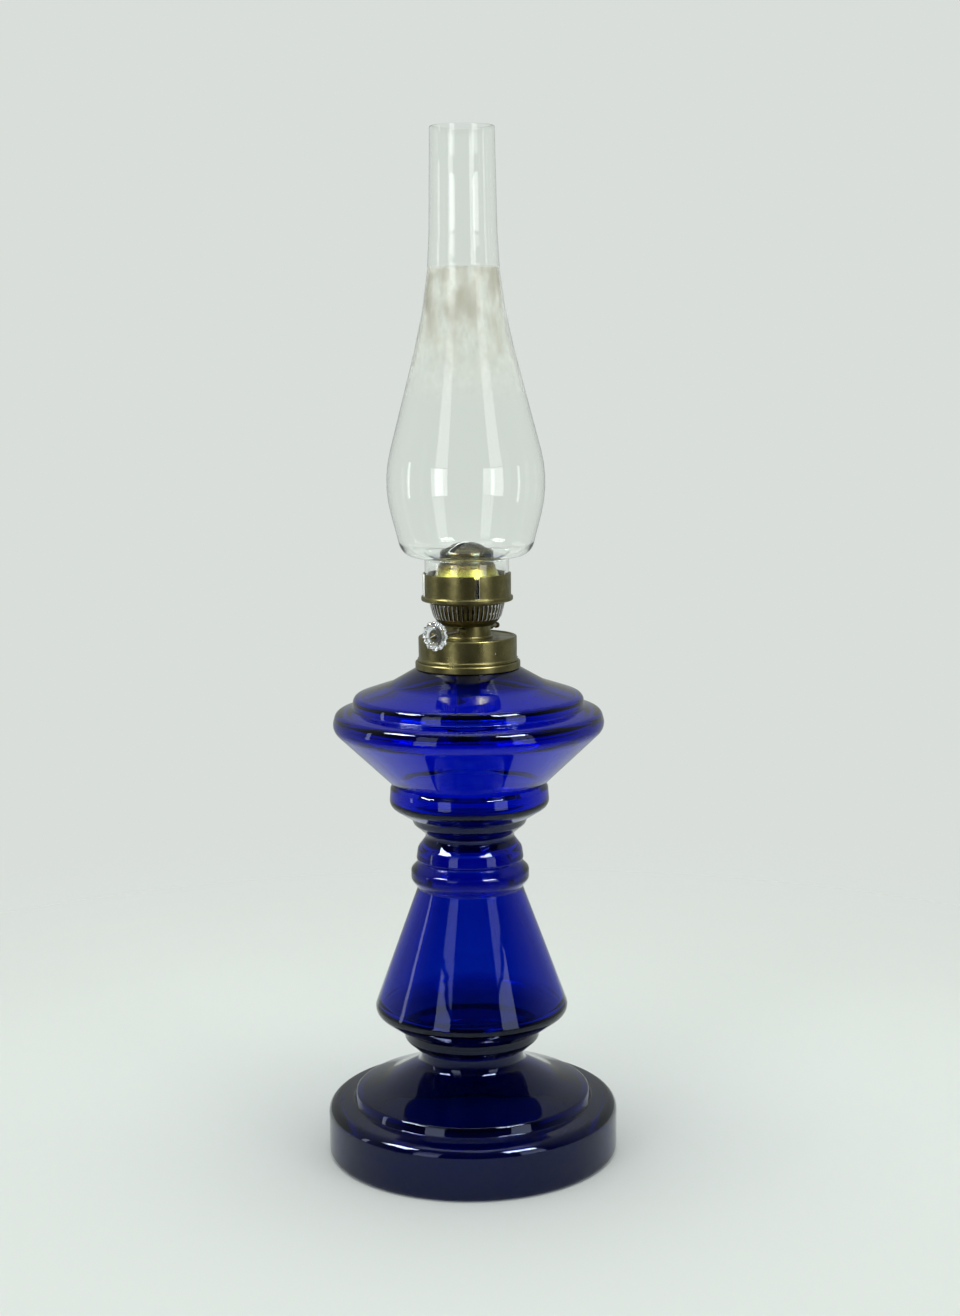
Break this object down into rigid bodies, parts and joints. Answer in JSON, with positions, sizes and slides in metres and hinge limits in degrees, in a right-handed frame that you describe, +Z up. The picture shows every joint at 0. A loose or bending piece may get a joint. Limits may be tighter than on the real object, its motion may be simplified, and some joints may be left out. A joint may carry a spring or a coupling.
{
  "type": "oil lamp",
  "caption": "Table oil lamp: waisted blue glass body and font, brass flat-wick burner with a wick knob, clear bulb chimney.",
  "frame": {"origin": "on the table at the centre of the foot", "axes": "+Z up along the lamp's axis, wick knob towards -Y"},
  "size_m": [0.1412, 0.1412, 0.4893],
  "materials": {
    "cobalt_glass": "cobalt-blue blown glass, glossy, thick walled",
    "clear_glass": "clear thin blown glass with a faint soot film inside",
    "pressed_glass": "clear pressed glass",
    "aged_brass": "old lacquered brass, olive brown, satin",
    "heat_toned_brass": "brass darkened by heat, yellow at the flange",
    "dark_brass": "tarnished brass, dull",
    "steel": "drawn steel wire, slightly rusted",
    "plaster": "set plaster, matt",
    "cotton_wick": "flat woven cotton tape"
  },
  "bodies": {
    "lamp_base": {"glass_pedestal": "cobalt_glass", "glass_font": "cobalt_glass", "collar_plaster": "plaster", "collar_ring": "aged_brass"},
    "burner": {"burner_cap": "aged_brass", "thread_ring": "aged_brass", "burner_floor": "aged_brass", "burner_neck": "aged_brass", "wick_tube": "aged_brass", "vent_tube": "aged_brass", "front_bush": "aged_brass", "back_bush": "aged_brass", "air_basket": "dark_brass", "diffuser_plate": "dark_brass", "chimney_gallery": "aged_brass"},
    "deflector": {"deflector_dome": "heat_toned_brass"},
    "wick_raiser": {"wick_spindle": "steel", "spur_wheel_front": "dark_brass", "spur_wheel_back": "dark_brass", "spindle_end_cap": "dark_brass", "knob_ferrule": "aged_brass", "wick_knob": "pressed_glass", "knob_screw": "dark_brass"},
    "wick_tape": {"wick": "cotton_wick"},
    "chimney": {"chimney": "clear_glass"}
  },
  "joints": [
    {"name": "burner_lift", "type": "slide", "parent": "lamp_base", "child": "burner", "axis": [0, 0, 1], "range_m": [0, 0.1]},
    {"name": "wick_knob_turn", "type": "hinge", "parent": "burner", "child": "wick_raiser", "pos_m": [0.005, 0, 0.2573], "axis": [0, 1, 0], "range_deg": [-120, 180]},
    {"name": "wick_slide", "type": "slide", "parent": "burner", "child": "wick_tape", "axis": [0, 0, 1], "range_m": [-0.008, 0.012]},
    {"name": "deflector_lift", "type": "slide", "parent": "burner", "child": "deflector", "axis": [0, 0, 1], "range_m": [0, 0.012]},
    {"name": "chimney_lift", "type": "slide", "parent": "burner", "child": "chimney", "axis": [0, 0, 1], "range_m": [0, 0.06]}
  ],
  "couplings": [
    {"joint": "wick_slide", "follows": "wick_knob_turn", "m_per_rad": 0.0038}
  ]
}
